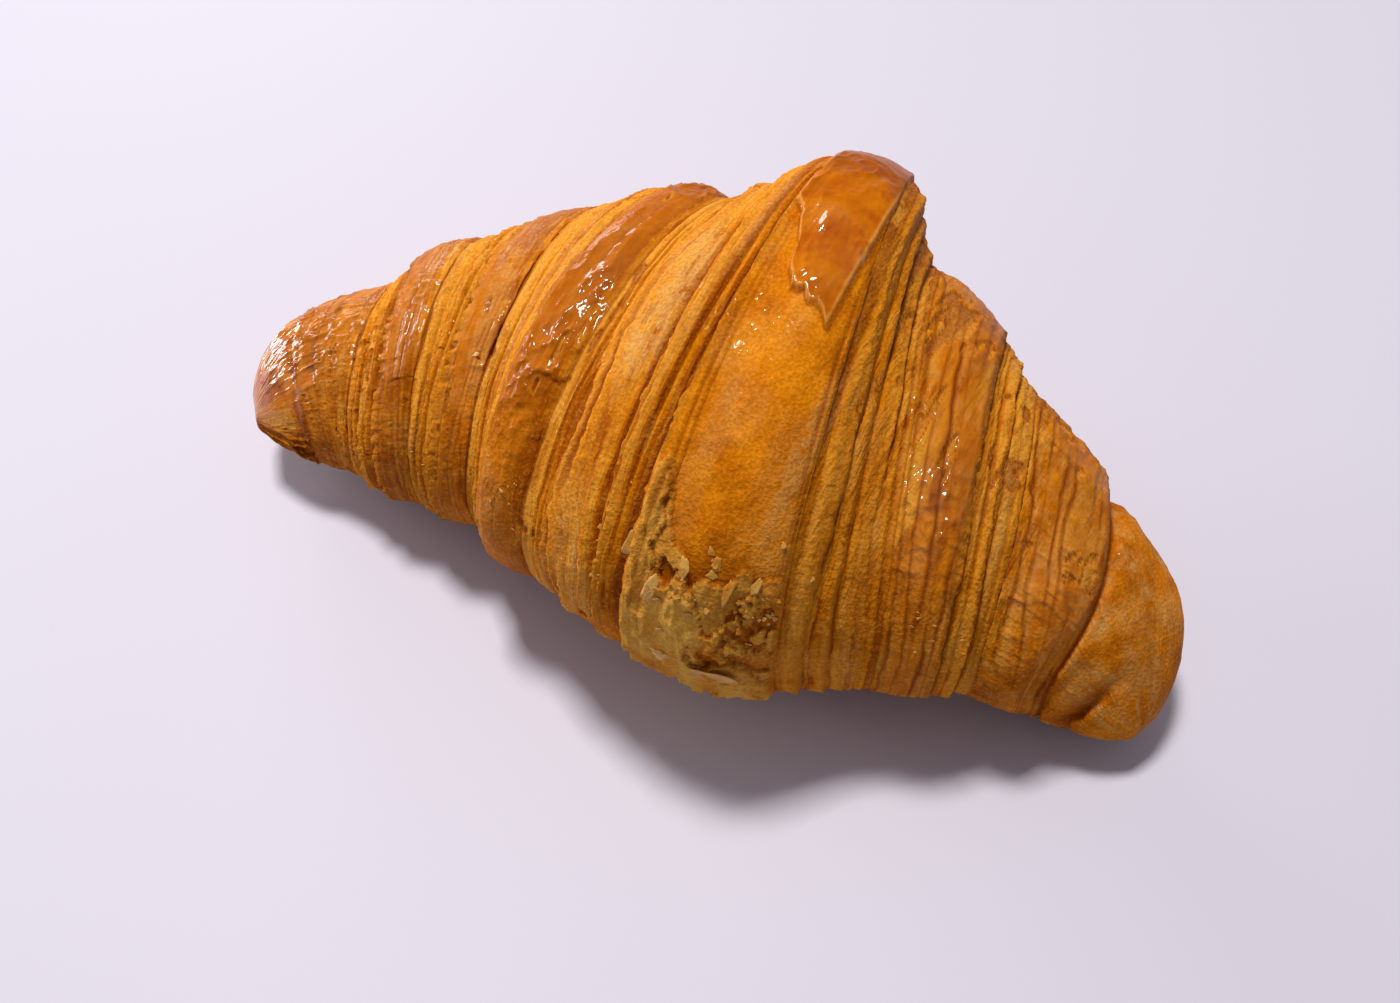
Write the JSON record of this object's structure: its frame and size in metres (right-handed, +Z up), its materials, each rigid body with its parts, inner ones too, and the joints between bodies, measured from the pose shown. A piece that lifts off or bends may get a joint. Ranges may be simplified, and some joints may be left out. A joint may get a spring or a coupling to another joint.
{
  "type": "croissant",
  "caption": "Baked croissant: a crescent-shaped roll of layered dough with a glazed, stepped crust and a flat underside to rest on.",
  "frame": {"origin": "centre of the footprint of the croissant's box, on the plane it rests on", "axes": "+X along the roll towards the shorter horn that ends in a knob, -Y towards the side both horns bow to, +Z up"},
  "size_m": [0.1758, 0.096, 0.0708],
  "materials": {
    "crust": null
  },
  "bodies": {
    "root": {"croissant": "crust"}
  },
  "joints": []
}
